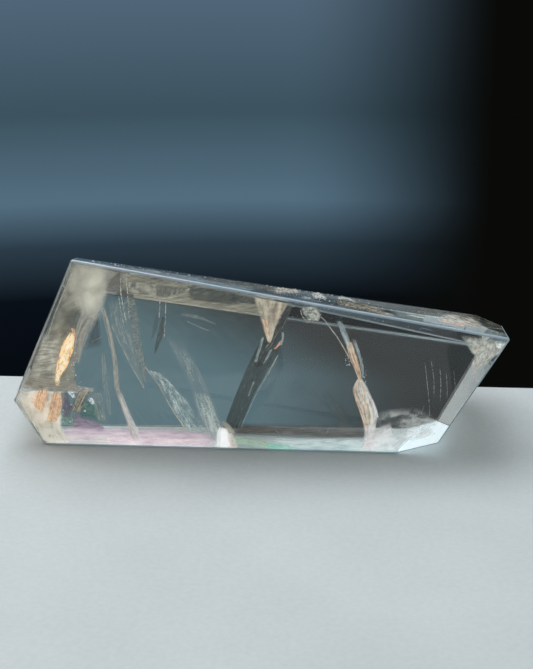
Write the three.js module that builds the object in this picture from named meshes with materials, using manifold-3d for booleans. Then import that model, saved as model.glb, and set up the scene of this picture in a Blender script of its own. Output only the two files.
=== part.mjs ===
// Optical calcite freeform: one clear piece of calcite, ground flat on ten sides and polished.
// The front window is a slanted four-sided outline with two corners taken off. The back leans out
// over the base, the top falls away to the back and to the right, and every edge is just softened.
// Millimetres. X runs along the block, +Y to its back and +Z up; it rests on its ground base.

import * as THREE from "three";
import Module from "manifold-3d";

const wasm = await Module();
wasm.setup();
const { Manifold } = wasm;

const rad = THREE.MathUtils.degToRad;

// Driving sizes, counted from the left end of the front edge of the base.
const FRONT_LEAN = rad(5.65);      // the front window leans out over its foot
const BACK_DEPTH = 23.2;           // base, front to back, at its left end
const BACK_SKEW = rad(4.5);        // the base widens to the right
const BACK_OVERHANG = rad(27.5);   // the back leans out from the base to the top
const EDGE_RADIUS = 0.45;          // polished edges
const EDGE_STEPS = 12;             // flats round a full circle of an edge

// Corners of the front window, by x and height.
const frontCorner = (x, z) => new THREE.Vector3(x, -z * Math.tan(FRONT_LEAN), z);
const FRONT = {
  baseLeft: frontCorner(0, 0),
  chamferTop: frontCorner(-6, 11),
  topLeft: frontCorner(9.3, 45.6),
  topRight: frontCorner(104.4, 29.1),
  bevelTop: frontCorner(89.9, 2.8),
  baseRight: frontCorner(80.7, 0),
};

// A point of the back face, by x and height.
function backCorner(x, z) {
  const atBase = BACK_DEPTH + x * Math.tan(BACK_SKEW);
  return new THREE.Vector3(x, atBase + z * Math.tan(BACK_OVERHANG), z);
}
const BACK = {
  topLeft: backCorner(3.8, 32.3),
  topRight: backCorner(101.3, 19.3),
  sideTop: backCorner(100.8, 20),
  sideFoot: backCorner(89.3, 0),
  bevelTop: backCorner(90.5, 2),
};

// The right end is two flats that meet in a faint upright ridge.
const RIDGE_TOP = new THREE.Vector3(105.4, 23.6, 22.7);

const FRONT_OUTWARD = new THREE.Vector3(0, -Math.cos(FRONT_LEAN), -Math.sin(FRONT_LEAN));
const behind = (corner) => corner.clone().addScaledVector(FRONT_OUTWARD, -20);

// Each flat is a plane through three points.
const FLATS = {
  base: [FRONT.baseLeft, FRONT.baseRight, BACK.sideFoot],
  front: [FRONT.baseLeft, FRONT.topLeft, FRONT.topRight],
  back: [BACK.topLeft, BACK.topRight, BACK.sideFoot],
  left: [FRONT.chamferTop, FRONT.topLeft, behind(FRONT.topLeft)],
  leftChamfer: [FRONT.chamferTop, FRONT.baseLeft, behind(FRONT.baseLeft)],
  rightFront: [FRONT.topRight, FRONT.bevelTop, RIDGE_TOP],
  rightBack: [RIDGE_TOP, BACK.sideTop, BACK.sideFoot],
  rightBevel: [FRONT.baseRight, FRONT.bevelTop, BACK.bevelTop],
  topFront: [FRONT.topLeft, FRONT.topRight, BACK.topRight],
  topBack: [FRONT.topLeft, BACK.topLeft, BACK.topRight],
};
const CORE = new THREE.Vector3(45, 15, 15);   // a point well inside the stone

// Chips knocked out of the edges: [place, radius].
const along = (a, b, part) => a.clone().lerp(b, part);
const CHIPS = [
  [along(FRONT.chamferTop, FRONT.baseLeft, 0.16), 0.9],
  [along(FRONT.chamferTop, FRONT.baseLeft, 0.31), 0.7],
  [along(FRONT.chamferTop, FRONT.baseLeft, 0.52), 1.0],
  [along(FRONT.chamferTop, FRONT.baseLeft, 0.78), 0.6],
  [along(FRONT.chamferTop, behind(FRONT.chamferTop), 0.35), 1.1],
  [along(BACK.topLeft, BACK.topRight, 0.2), 0.9],
  [along(BACK.topLeft, BACK.topRight, 0.57), 1.3],
  [along(BACK.topLeft, BACK.topRight, 0.68), 1.1],
  [along(FRONT.baseLeft, BACK.sideFoot, 0.96), 0.8],
];

function flatPlane([a, b, c]) {
  const plane = new THREE.Plane().setFromCoplanarPoints(a, b, c);
  return plane.distanceToPoint(CORE) > 0 ? plane.negate() : plane;
}

// The point where three planes meet, or null where two of them are nearly parallel.
function meetingPoint(p, q, r) {
  const qr = new THREE.Vector3().crossVectors(q.normal, r.normal);
  const rp = new THREE.Vector3().crossVectors(r.normal, p.normal);
  const pq = new THREE.Vector3().crossVectors(p.normal, q.normal);
  const volume = p.normal.dot(qr);
  if (Math.abs(volume) < 1e-6) return null;
  return qr.multiplyScalar(-p.constant)
    .addScaledVector(rp, -q.constant)
    .addScaledVector(pq, -r.constant)
    .divideScalar(volume);
}

// Corners of the convex solid that the planes enclose.
function enclosedCorners(planes) {
  const corners = [];
  for (let i = 0; i < planes.length; i += 1) {
    for (let j = i + 1; j < planes.length; j += 1) {
      for (let k = j + 1; k < planes.length; k += 1) {
        const point = meetingPoint(planes[i], planes[j], planes[k]);
        if (point && planes.every((plane) => plane.distanceToPoint(point) < 1e-6)) {
          corners.push(point);
        }
      }
    }
  }
  return corners;
}

// The stone: a small ball in every corner of the inset flats, and a tight skin round them all.
function polishedBlock() {
  const inset = Object.values(FLATS).map(flatPlane);
  for (const plane of inset) plane.constant += EDGE_RADIUS;
  const balls = enclosedCorners(inset).map((corner) =>
    Manifold.sphere(EDGE_RADIUS, EDGE_STEPS).translate(corner.toArray()));
  return Manifold.hull(balls);
}

// A chip is a shallow scoop with a few flat sides, turned a little differently each time.
function chipScoop([place, radius], index) {
  return Manifold.sphere(radius, 8)
    .scale([1.6, 0.9, 0.8])
    .rotate([index * 37, index * 61, index * 83])
    .translate(place.toArray());
}

function toGeometry(solid) {
  const { numProp, vertProperties, triVerts } = solid.getMesh();
  const positions = new Float32Array(triVerts.length * 3);
  triVerts.forEach((vertex, n) => {
    for (let axis = 0; axis < 3; axis += 1) {
      positions[n * 3 + axis] = vertProperties[vertex * numProp + axis];
    }
  });
  const geometry = new THREE.BufferGeometry();
  geometry.setAttribute("position", new THREE.BufferAttribute(positions, 3));
  geometry.computeVertexNormals();
  return geometry;
}

const stone = CHIPS.map(chipScoop).reduce((solid, scoop) => solid.subtract(scoop), polishedBlock());
const geometry = toGeometry(stone);

const calcite = new THREE.MeshStandardMaterial({
  color: new THREE.Color(0.86, 0.88, 0.86),
  roughness: 0.05,
  metalness: 0,
  transparent: true,
  opacity: 0.35,
});

const block = new THREE.Mesh(geometry, calcite);
block.name = "calcite_block";

// The origin is on the base plane, under the middle of the block's outline.
geometry.computeBoundingBox();
const middle = geometry.boundingBox.getCenter(new THREE.Vector3());
block.position.set(-middle.x, -middle.y, 0);

const group = new THREE.Group();
group.add(block);

export default group;
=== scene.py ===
import math

import bmesh
import bpy
from mathutils import Matrix, Vector, noise


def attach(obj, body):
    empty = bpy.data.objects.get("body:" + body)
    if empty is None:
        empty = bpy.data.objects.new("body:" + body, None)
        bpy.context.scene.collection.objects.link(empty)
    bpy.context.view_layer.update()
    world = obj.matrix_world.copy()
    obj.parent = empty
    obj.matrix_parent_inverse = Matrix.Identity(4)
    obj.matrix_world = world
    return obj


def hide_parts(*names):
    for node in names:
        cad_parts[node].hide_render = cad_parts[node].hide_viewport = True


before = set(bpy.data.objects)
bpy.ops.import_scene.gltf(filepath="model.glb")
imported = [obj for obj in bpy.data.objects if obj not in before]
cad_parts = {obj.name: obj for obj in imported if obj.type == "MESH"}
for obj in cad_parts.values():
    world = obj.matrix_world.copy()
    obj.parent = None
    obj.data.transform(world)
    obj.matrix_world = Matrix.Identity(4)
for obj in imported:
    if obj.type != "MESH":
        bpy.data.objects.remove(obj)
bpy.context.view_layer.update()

# ---------------------------------------------------------------------------------------------
# The view: a camera a third of a metre in front of the stone, looking down on it and a little from
# the right. It comes first because the breaks inside the stone are laid out as they show through
# the front window, along lines of sight that bend where they enter the calcite.

MM = 0.001                                        # the stone and its breaks are in millimetres
CAMERA_PLACE = Vector((21.4, -329.4, 138.2))
CAMERA_DOWN = math.radians(19.5)
CAMERA_LEFT = math.radians(3.64)
CAMERA_LENS = 80.7

camera_data = bpy.data.cameras.new("view")
camera_data.lens = CAMERA_LENS
camera = bpy.data.objects.new("view", camera_data)
camera.location = CAMERA_PLACE * MM
camera.rotation_euler = (math.pi / 2 - CAMERA_DOWN, 0, CAMERA_LEFT)
bpy.context.collection.objects.link(camera)
bpy.context.scene.camera = camera

# ---------------------------------------------------------------------------------------------
# The stone: one clear piece of calcite, cut to ten flats and polished, with its edges just rounded.
# The base and the small bevel at the right are frosty, as ground and unpolished calcite is, and glow
# with painted light. Most rounded edges are dull and tinted pale blue as a painted highlight, those
# under the back are tinted dark as painted shade, and small chips are missing from the edges.

CALCITE_IOR = 1.6
FRONT_FOOT = Vector((-49.6, -18.28, 0))           # left end of the base's front edge
FRONT_LEAN = math.radians(5.65)
BACK_DEPTH = 23.2                                 # base, front to back, at its left end
BACK_SKEW = math.radians(4.5)
BACK_OVERHANG = math.radians(27.5)
TOP_FROM, TOP_TO = 9.3, 104.4                     # ends of the window's top edge, told along its foot
EDGE_RADIUS = 0.45
EDGE_STEPS = 6


def on_front(x, z):
    """A point of the front window: millimetres along from the left end of its foot, and height."""
    return FRONT_FOOT + Vector((x, -z * math.tan(FRONT_LEAN), z))


def on_back(x, z):
    """A point of the back, told in the same way."""
    depth = BACK_DEPTH + x * math.tan(BACK_SKEW) + z * math.tan(BACK_OVERHANG)
    return FRONT_FOOT + Vector((x, depth, z))


INWARD = Vector((0, math.cos(FRONT_LEAN), math.sin(FRONT_LEAN)))   # square to the front window
LEFT_EDGE = 20 * INWARD                           # the left end's edges run square to the window
STONE_CORE = FRONT_FOOT + Vector((45, 15, 15))    # a place well inside the stone
base_left = on_front(0, 0)
base_right = on_front(80.7, 0)
bevel_top = on_front(89.9, 2.8)
chamfer_top = on_front(-6, 11)
top_left = on_front(TOP_FROM, 45.6)
top_right = on_front(TOP_TO, 29.1)
back_top_left = on_back(3.8, 32.3)
back_top_right = on_back(101.3, 19.3)
back_right_foot = on_back(89.3, 0)
bevel_back = on_back(90.5, 2)
ridge_back = on_back(100.8, 20)
ridge_top = FRONT_FOOT + Vector((105.4, 23.6, 22.7))


class Flat:
    """A ground flat through three points; its normal points out of the stone."""

    def __init__(self, a, b, c):
        self.out = (b - a).cross(c - a).normalized()
        if self.out.dot(STONE_CORE - a) > 0:
            self.out = -self.out
        self.reach = self.out.dot(a)


flats = {
    "base": Flat(base_left, base_right, back_right_foot),
    "front": Flat(base_left, top_left, top_right),
    "back": Flat(back_top_left, back_top_right, back_right_foot),
    "left": Flat(chamfer_top, top_left, top_left + LEFT_EDGE),
    "left_chamfer": Flat(chamfer_top, base_left, base_left + LEFT_EDGE),
    "right_front": Flat(top_right, bevel_top, ridge_top),
    "right_back": Flat(ridge_top, ridge_back, back_right_foot),
    "right_bevel": Flat(base_right, bevel_top, bevel_back),
    "top_front": Flat(top_left, top_right, back_top_right),
    "top_back": Flat(top_left, back_top_left, back_top_right),
}


NO_CORNER = 1e-6                                  # flats whose normals span less meet in no point
CORNER_SLACK = 1e-4                               # how far a corner may be outside a fourth flat
WELD = 1e-7                                       # in metres: points nearer than this are one
SAME_LIE = 0.99999                                # cosine from which a face lies on a flat


def rounded_corner(p, q, r):
    """Points of the small ball in the corner of three flats, or none if they meet outside."""
    volume = p.out.dot(q.out.cross(r.out))
    if abs(volume) < NO_CORNER:
        return []
    reach = [flat.reach - EDGE_RADIUS for flat in (p, q, r)]
    centre = (q.out.cross(r.out) * reach[0] + r.out.cross(p.out) * reach[1]
              + p.out.cross(q.out) * reach[2]) / volume
    if any(flat.out.dot(centre) > flat.reach - EDGE_RADIUS + CORNER_SLACK for flat in flats.values()):
        return []
    points = []
    for i in range(EDGE_STEPS + 1):
        for j in range(EDGE_STEPS + 1 - i):
            outward = p.out * i + q.out * j + r.out * (EDGE_STEPS - i - j)
            points.append(centre + outward.normalized() * EDGE_RADIUS)
    return points


def new_piece(name, mesh, *materials):
    piece = bpy.data.objects.new(name, mesh)
    for material in materials:
        mesh.materials.append(material)
    bpy.context.collection.objects.link(piece)
    return piece


def mesh_of(name, shaped):
    mesh = bpy.data.meshes.new(name)
    shaped.to_mesh(mesh)
    shaped.free()
    return mesh


POLISHED, GROUND_BASE_GLOW, GROUND_BEVEL_GLOW, DULL_EDGE_HIGHLIGHT, SHADED_FOOT_EDGE, CHIPPED = range(6)
LEFTWARD = -0.3


def edge_look(outward):
    """Most edges are dull with a painted highlight, those at the left clear, those under the back painted
    shade.
    """
    if outward.y > 0 and outward.z < 0:
        return SHADED_FOOT_EDGE
    return DULL_EDGE_HIGHLIGHT if outward.x > LEFTWARD else POLISHED


def polished_block():
    """The tight skin round a small ball in every corner: flat faces and rounded edges."""
    shaped = bmesh.new()
    order = list(flats.values())
    for i, first in enumerate(order):
        for j, second in enumerate(order[i + 1:], i + 1):
            for third in order[j + 1:]:
                for point in rounded_corner(first, second, third):
                    shaped.verts.new(point * MM)
    bmesh.ops.remove_doubles(shaped, verts=shaped.verts, dist=WELD)
    skin = bmesh.ops.convex_hull(shaped, input=shaped.verts)
    spare = {v for v in skin["geom_interior"] + skin["geom_unused"] if isinstance(v, bmesh.types.BMVert)}
    bmesh.ops.delete(shaped, geom=list(spare), context="VERTS")
    bmesh.ops.dissolve_limit(shaped, angle_limit=0.002, verts=shaped.verts, edges=shaped.edges)
    flat_looks = {flats["base"]: GROUND_BASE_GLOW, flats["right_bevel"]: GROUND_BEVEL_GLOW}
    for face in shaped.faces:
        lies_on = [flat for flat in order if face.normal.dot(flat.out) > SAME_LIE]
        face.smooth = not lies_on
        if lies_on:
            face.material_index = flat_looks.get(lies_on[0], POLISHED)
        else:
            face.material_index = edge_look(face.normal)
    return mesh_of("clear_stone", shaped)


# Chips: the ends of an edge, the share of the way along it, and how far the scoop reaches.
chips = [
    (chamfer_top, base_left, 0.14, 0.7),
    (chamfer_top, base_left, 0.34, 0.5),
    (chamfer_top, base_left, 0.54, 0.8),
    (chamfer_top, base_left, 0.78, 0.5),
    (chamfer_top, chamfer_top + LEFT_EDGE, 0.35, 0.8),
    (back_top_left, back_top_right, 0.2, 0.6),
    (back_top_left, back_top_right, 0.57, 0.7),
    (back_top_left, back_top_right, 0.68, 0.6),
]


CHIP_STRETCH = 2.1                                # along its edge
CHIP_SQUEEZE = 0.6                                # and across it
CHIP_ROUGHNESS = 0.45
CHIP_LUMPS = 2.2                                  # per millimetre


def chip_scoops():
    """Lumps drawn out along the edge, each with a few uneven sides as a shell-shaped break has."""
    shaped = bmesh.new()
    for index, (start, end, share, reach) in enumerate(chips):
        made = bmesh.ops.create_icosphere(shaped, subdivisions=3, radius=reach)["verts"]
        turn = (end - start).to_track_quat("X", "Z")
        place = start.lerp(end, share)
        for vert in made:
            rough = 1 + CHIP_ROUGHNESS * noise.noise(vert.co * CHIP_LUMPS + Vector((index * 9, 0, 0)))
            drawn = Vector((vert.co.x * CHIP_STRETCH, vert.co.y * CHIP_SQUEEZE, vert.co.z * CHIP_SQUEEZE))
            vert.co = (turn @ drawn * rough + place) * MM
    for face in shaped.faces:
        face.material_index = CHIPPED
    return mesh_of("chip_scoops", shaped)


class Wire:
    """A shader socket that takes part in sums; each operator adds its Math node."""

    def __init__(self, graph, socket):
        self.graph = graph
        self.socket = socket

    def math(self, operation, *terms):
        return self.graph.add("ShaderNodeMath", {"operation": operation}, dict(enumerate(terms)))["Value"]

    def __add__(self, other):
        return self.math("ADD", self, other)

    def __sub__(self, other):
        return self.math("SUBTRACT", self, other)

    def __rsub__(self, other):
        return self.math("SUBTRACT", other, self)

    def __mul__(self, other):
        return self.math("MULTIPLY", self, other)

    def __truediv__(self, other):
        return self.math("DIVIDE", self, other)

    __radd__ = __add__
    __rmul__ = __mul__

    def most(self, other):
        return self.math("MAXIMUM", self, other)

    def step(self, low, high):
        """0 below low and 1 above high, with a soft ramp between."""
        limits = {"Value": self, "From Min": low, "From Max": high}
        return self.graph.add("ShaderNodeMapRange", {"interpolation_type": "SMOOTHSTEP"}, limits)["Result"]


class Graph:
    """The nodes of one material or backdrop."""

    def __init__(self, owner):
        owner.use_nodes = True
        self.tree = owner.node_tree
        self.tree.nodes.clear()

    def add(self, kind, settings=None, sockets=None):
        """Adds a node: its settings or ramp stops first, then values or links of its sockets."""
        node = self.tree.nodes.new(kind)
        for key, value in (settings or {}).items():
            if key == "stops":
                self.set_stops(node.color_ramp.elements, value)
            else:
                setattr(node, key, value)
        shown = [socket for socket in node.inputs if socket.enabled]
        for key, value in (sockets or {}).items():
            socket = shown[key] if isinstance(key, int) else next(s for s in shown if s.name == key)
            if isinstance(value, Wire):
                self.tree.links.new(value.socket, socket)
            else:
                socket.default_value = value
        return {output.name: Wire(self, output) for output in node.outputs if output.enabled}

    @staticmethod
    def set_stops(elements, stops):
        while len(elements) < len(stops):
            elements.new(1)
        for element, (position, tone) in zip(elements, stops):
            element.position = position
            element.color = shade(*tone)

    def noise(self, place, scale, detail):
        return self.add("ShaderNodeTexNoise", {}, {"Vector": place, "Scale": scale, "Detail": detail})["Fac"]

    def vector(self, operation, sockets):
        return self.add("ShaderNodeVectorMath", {"operation": operation}, sockets)["Vector"]


def shade(red, green, blue):
    """A colour told in display steps of 0 to 255, as the light values that a shader takes."""
    steps = [part / 255 for part in (red, green, blue)]
    return (*[s / 12.92 if s < 0.04045 else ((s + 0.055) / 1.055) ** 2.4 for s in steps], 1)


def calcite_look(name, roughness, haze, clearness, tint=(1, 1, 1, 1), glow=0.0):
    """Calcite with a wavy polish, hazed in smears; with less clearness than 1 it is frosty.

    glow is light of its own, which real calcite doesn't give.
    """
    material = bpy.data.materials.new(name)
    graph = Graph(material)
    place = graph.add("ShaderNodeTexCoord")["Object"]
    wave = graph.noise(place, scale=70, detail=1)
    wipe = graph.vector("MULTIPLY", {0: place, 1: (1, 1, 6)})
    smear = graph.noise(wipe, scale=160, detail=3).step(low=0.52, high=0.75)
    polish = graph.add("ShaderNodeBump", {}, {"Height": wave, "Strength": 0.6, "Distance": 0.00004})["Normal"]
    surface = graph.add("ShaderNodeBsdfPrincipled", {}, {
        "Base Color": tint,
        "Roughness": smear * haze + roughness,
        "IOR": CALCITE_IOR,
        "Transmission Weight": clearness,
        "Emission Color": tint,
        "Emission Strength": glow,
        "Normal": polish,
    })["BSDF"]
    depth = graph.add("ShaderNodeVolumeAbsorption", {}, {
        "Color": shade(222, 232, 226),
        "Density": 6.0,
    })["Volume"]
    graph.add("ShaderNodeOutputMaterial", {}, {"Surface": surface, "Volume": depth})
    return material


# The glow of the frosty base and bevel is painted light, the pale blue of the dull edges is a painted
# highlight, and the dark tint of the edges under the back is painted shade.
stone = new_piece(
    "clear_stone",
    polished_block(),
    calcite_look("polished_calcite", 0.0, 0.003, 1.0),
    calcite_look("ground_base_glow", 0.4, 0.1, 0.35, shade(214, 232, 234), glow=0.14),
    calcite_look("ground_bevel_glow", 0.4, 0.1, 0.2, shade(226, 240, 246), glow=0.64),
    calcite_look("dull_edge_highlight", 0.3, 0.1, 0.4, shade(212, 226, 240)),
    calcite_look("shaded_foot_edge", 0.4, 0.1, 0.2, shade(120, 116, 108)),
    calcite_look("chipped_calcite", 0.3, 0.1, 0.6, shade(232, 230, 218)),
)
scoops = new_piece("chip_scoops", chip_scoops(), *stone.data.materials)
knock = stone.modifiers.new("chips", "BOOLEAN")
knock.object = scoops
knock.operation = "DIFFERENCE"
knock.solver = "EXACT"
chipped = bpy.data.meshes.new_from_object(stone.evaluated_get(bpy.context.evaluated_depsgraph_get()))
stone.modifiers.clear()
stone.data = chipped
bpy.data.objects.remove(scoops)
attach(stone, "root")
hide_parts("calcite_block")

# ---------------------------------------------------------------------------------------------
# The milky corner: a cloud of fine cracks at the stone's left end, built of crumpled veils, with
# two legs that run down from its heart. What this break and those in the sections below are, and
# how they formed, is judged from their look alone.


def sight(x, z):
    """Where a line of sight enters the window at x, z, and its way on once the calcite bends it."""
    entry = on_front(x, z)
    toward = (entry - CAMERA_PLACE).normalized()
    ratio = 1 / CALCITE_IOR
    square = toward.dot(INWARD)
    bend = math.sqrt(1 - ratio ** 2 * (1 - square ** 2)) - ratio * square
    return entry, toward * ratio + INWARD * bend


def behind(*spots):
    """Points seen at x, z of the window, each some depth behind it."""
    points = []
    for x, z, depth in spots:
        entry, onward = sight(x, z)
        points.append(entry + onward * (depth / onward.y))
    return points


def against(flat, gap, *spots):
    """Points seen at x, z of the window that lie just inside a flat of the stone."""
    points = []
    for x, z in spots:
        entry, onward = sight(x, z)
        points.append(entry + onward * ((flat.reach - gap - flat.out.dot(entry)) / flat.out.dot(onward)))
    return points


def curve_at(points, share):
    """A smooth curve through points, at a share of its way."""
    reach = share * (len(points) - 1)
    start = min(int(reach), len(points) - 2)
    t = reach - start
    a, b, c, d = (points[min(max(k, 0), len(points) - 1)] for k in range(start - 1, start + 3))
    return (b * 2 + (c - a) * t + (a * 2 - b * 5 + c * 4 - d) * t ** 2 + (b * 3 - a - c * 3 + d) * t ** 3) / 2


def kept_inside(point, gap=0.25):
    """The point moved a gap inside every flat; a move may cross another flat, so in three rounds."""
    for _ in range(3):
        for flat in flats.values():
            over = flat.out.dot(point) - flat.reach + gap
            if over > 0:
                point = point - flat.out * over
    return point


def inner_piece(name, shaped, material):
    piece = new_piece(name, mesh_of(name, shaped), material)
    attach(piece, "root")
    return piece


DRIFT_APART = (0, 31.7, 67.3)                     # far enough for three unlike wanders
COARSE_FOLDS, FINE_FOLDS = 0.35, 1.1              # per millimetre
FINE_SHARE = 0.4


def drift(point):
    """A smooth wander in three directions that is the same on every run."""
    return Vector([noise.noise(point + Vector((apart, 0, 0))) for apart in DRIFT_APART])


def veil(name, sides, material, sway=0.25, rows=36, columns=8, seat=kept_inside):
    """A thin sheet between two sides, a little crumpled, with a place across and along it."""
    left, right = sides
    shaped = bmesh.new()
    layer = shaped.loops.layers.uv.new("place")
    grid = []
    for i in range(rows + 1):
        start, end = curve_at(left, i / rows), curve_at(right, i / rows)
        row = []
        for j in range(columns + 1):
            point = start.lerp(end, j / columns)
            crumple = drift(point * COARSE_FOLDS) + drift(point * FINE_FOLDS) * FINE_SHARE
            point = seat(point + crumple * sway)
            row.append((shaped.verts.new(point * MM), (j / columns, i / rows)))
        grid.append(row)
    for near, far in zip(grid, grid[1:]):
        for a, b, c, d in zip(near, near[1:], far[1:], far):
            face = shaped.faces.new([corner[0] for corner in (a, b, c, d)])
            face.smooth = True
            for loop, corner in zip(face.loops, (a, b, c, d)):
                loop[layer].uv = corner[1]
    return inner_piece(name, shaped, material)


def crack(name, left, right, material, sway=0.25, **grid):
    """A veil told by the spots of its two sides."""
    return veil(name, (behind(*left), behind(*right)), material, sway, **grid)


def streak(name, width, turn, spots, material, sway=0.05):
    """A narrow break round its middle line, its right side the deeper by turn."""
    left = [(x - width / 2, z, depth - turn / 2) for x, z, depth in spots]
    right = [(x + width / 2, z, depth + turn / 2) for x, z, depth in spots]
    return crack(name, left, right, material, sway)


def film(name, flat, gap, far, near, material, sway=0.05, **grid):
    """A break laid just inside a flat, told by the spots of its far and near sides."""
    return veil(name, (against(flat, gap, *far), against(flat, gap, *near)), material, sway, **grid)


TEAR_SOFTNESS = 0.28                              # half the ramp between clear and parted


# A break's tones are partly its own whiteness where it has parted and partly painted reflection of the light
# and dark around the stone.
def break_look(name, tones, cover=0.85, glow=0.5, grain=900, drawn=(5, 2), torn=0.35, edge=1.0, end=0.3,
               rim=0.0, lean=0.0, solid=0.6):
    """A break in the crystal: it scatters light where it has parted, and is clear where it has not.

    tones run over its streaks, or from rim to middle as rim goes to 1, or from side to side as
    lean does. cover is how much it hides, of which solid is even and the rest torn; the higher
    torn is, the more of that rest is clear. drawn is how fine its streaks are across and along
    it, and grain how fine its speckle is. edge and end are how softly it fades away at its sides
    and tips. glow is light of its own, which a real break doesn't give.
    """
    material = bpy.data.materials.new(name)
    graph = Graph(material)
    spot = graph.add("ShaderNodeTexCoord")["Object"]
    place = graph.add("ShaderNodeUVMap", {"uv_map": "place"})["UV"]
    parts = graph.add("ShaderNodeSeparateXYZ", {}, {"Vector": place})
    stretched = graph.vector("MULTIPLY", {0: place, 1: (*drawn, 1)})
    shift = graph.vector("SCALE", {"Vector": spot, "Scale": 90.0})
    lie = graph.vector("ADD", {0: stretched, 1: shift})
    streaks = graph.noise(lie, scale=1.6, detail=3).step(low=0.25, high=0.75)
    grains = graph.noise(spot, scale=grain, detail=3).step(low=0.2, high=0.8)
    middle = parts["X"] * (1 - parts["X"]) * 4
    reach = parts["Y"] * (1 - parts["Y"]) * 4
    faded = middle.step(0, edge) * reach.step(0, end)
    parted = (streaks * 0.65 + grains * 0.35).step(torn - TEAR_SOFTNESS, torn + TEAR_SOFTNESS)
    mix = middle * rim + parts["X"] * lean + (streaks * 0.6 + grains * 0.4) * (1 - rim - lean)
    tone = graph.add("ShaderNodeValToRGB", {"stops": tones}, {"Fac": mix})["Color"]
    surface = graph.add("ShaderNodeBsdfPrincipled", {}, {
        "Base Color": tone,
        "Roughness": 0.45,
        "Alpha": faded * (parted * (1 - solid) + solid) * cover,
        "Emission Color": tone,
        "Emission Strength": glow,
    })["BSDF"]
    graph.add("ShaderNodeOutputMaterial", {}, {"Surface": surface})
    return material


milk = break_look("cloudy_calcite", [
    (0.2, (92, 93, 84)), (0.5, (120, 119, 107)), (0.85, (158, 156, 142)),
], grain=260, drawn=(1.2, 6), torn=0.3, edge=0.3, end=0.15, solid=0.7)
heart = break_look("milky_heart", [
    (0.2, (190, 187, 172)), (0.8, (236, 233, 218)),
], cover=0.72, grain=220, drawn=(1.5, 1.5), torn=0.2, end=1.0, solid=0.9)
haze_light = break_look("milky_brow", [
    (0.2, (150, 149, 138)), (0.8, (194, 192, 178)),
], cover=0.6, grain=220, drawn=(1.5, 1.5), torn=0.25, end=1.0, solid=0.8)
leg = break_look("milky_leg", [
    (0.1, (122, 121, 112)), (0.5, (158, 154, 142)), (0.9, (194, 188, 174)),
], drawn=(5, 0.8), edge=0.8, end=0.4, solid=0.7)
# Dark sheets laid in the creases of the milky corner: painted shade.
shade_in_crease = break_look("painted_crease_shade", [
    (0.2, (66, 66, 55)), (0.8, (104, 102, 88)),
], cover=0.5, drawn=(3, 3), end=0.8)
crack("milky_wall", (
    (9.9, 44.4, 3), (6.6, 37.6, 4), (2.9, 29.2, 4), (-0.8, 21, 4), (-3.6, 14.6, 4),
), (
    (20.6, 43.8, 8), (14.2, 36.4, 13), (9.4, 29.6, 14), (9.2, 21.6, 13), (9, 14.4, 12),
), milk, sway=0.4)
crack("milky_wall_inner", (
    (9.8, 44.4, 10), (5.8, 35.6, 10), (2.2, 27.2, 11), (-1.6, 19.5, 11), (-3.8, 14.2, 11),
), (
    (17.6, 43.8, 16), (10.4, 33.4, 18), (8, 25.3, 19), (7.4, 19.6, 18), (6.4, 14.2, 16),
), milk, sway=0.4)
crack("wall_shade", (
    (6.4, 34.6, 6), (5.2, 31, 6), (4.4, 27.6, 6),
), (
    (11.4, 33.8, 9), (10.6, 30.4, 9), (9.4, 27.2, 9),
), shade_in_crease, 0.2)
crack("wall_streaks", (
    (1.6, 28.6, 3), (0.2, 24.2, 3), (-1.4, 20, 3), (-3.4, 14.8, 3),
), (
    (6.8, 28.6, 8), (6, 24.2, 8), (5.4, 20, 8), (6.8, 14.8, 8),
), break_look("wall_streaks", [
    (0.2, (164, 161, 146)), (0.8, (222, 219, 204)),
], grain=500, drawn=(0.9, 14), torn=0.45, end=1.0, solid=0.4), 0.2)
crack("milky_brow", (
    (7.6, 46, 1), (13, 45.4, 1.5), (17.4, 44.8, 2), (23.4, 43.8, 3),
), (
    (5.8, 38.6, 2.5), (11, 36.6, 3.5), (16.8, 37, 4), (21.8, 38.2, 5),
), haze_light, sway=0.3, columns=16)
crack("milky_heart", (
    (7.4, 46, 1), (7.6, 41, 2), (8.6, 36.4, 3), (11.4, 30.6, 5),
), (
    (17.6, 45.6, 3), (17.4, 41, 4), (16.6, 36.2, 5.5), (15.6, 30.6, 8),
), heart, columns=16)
crack("milky_heart_inner", (
    (10, 43, 3), (10.8, 38.6, 4), (11.8, 33.4, 6),
), (
    (17.6, 43, 5), (17.2, 38.6, 6), (15.8, 33.4, 8),
), heart, columns=16)
crack("milky_leg_outer", (
    (11.4, 38.6, 7), (10.9, 34.4, 8), (9.6, 30.8, 9), (9, 27.8, 10),
), (
    (14.6, 38.4, 9), (13.2, 33.9, 11), (11.3, 30.4, 12), (10, 27.4, 12),
), leg, 0.1)
# A dark line down the crease of a leg: painted shade.
streak("milky_leg_crease_shade", 0.5, 1, (
    (11.4, 30.9, 8), (10.6, 29.4, 8), (9.8, 27.6, 8), (9.4, 26, 8),
), shade_in_crease)
crack("milky_leg_inner", (
    (12.4, 36.2, 9), (10.2, 31.5, 12), (8.4, 27.8, 13), (7.2, 20.4, 14),
), (
    (15.6, 35.2, 10), (14, 30.8, 13), (11.9, 26.7, 14), (9.6, 20.2, 15),
), leg, sway=0.1)
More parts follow.
